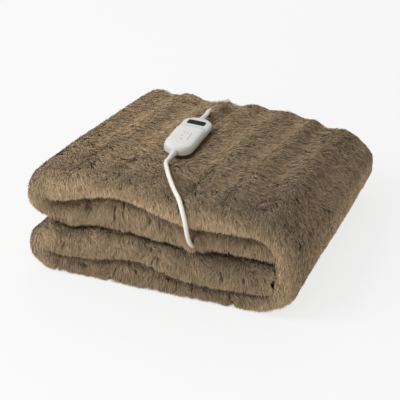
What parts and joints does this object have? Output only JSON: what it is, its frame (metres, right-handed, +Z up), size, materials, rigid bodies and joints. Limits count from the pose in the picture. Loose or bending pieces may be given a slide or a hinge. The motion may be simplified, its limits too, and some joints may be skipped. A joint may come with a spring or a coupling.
{
  "type": "electric heated blanket",
  "caption": "Long-pile plush heated throw folded into a thick stack, with an in-line hand controller on top, its lead running into the fold and a coiled mains lead with its plug behind.",
  "frame": {"origin": "middle of the blanket's footprint on its flat underside", "axes": "+Z up out of the stack, -Y towards the rounded front fold, +X towards the closed wrap on the right"},
  "size_m": [0.384, 0.5101, 0.1533],
  "materials": {
    "pile": "soft taupe-brown long-pile faux fur",
    "white_plastic": "satin white moulded plastic",
    "keypad": "matt white membrane",
    "dark_window": "glossy dark display window",
    "lead_white": "warm white flexible sheath",
    "brass": "plated contact pins"
  },
  "bodies": {
    "root": {"blanket": "pile", "controller_base": "white_plastic", "controller_cover": "white_plastic", "controller_keypad": "keypad", "controller_display": "dark_window", "strain_relief_front": "white_plastic", "strain_relief_rear": "white_plastic", "blanket_lead": "lead_white", "lead_plug": "white_plastic", "blanket_socket": "white_plastic", "mains_lead": "lead_white", "mains_coil": "lead_white", "coil_tie": "keypad", "mains_plug": "white_plastic", "mains_plug_relief": "white_plastic", "plug_pin_front": "brass", "plug_pin_rear": "brass"}
  },
  "joints": []
}
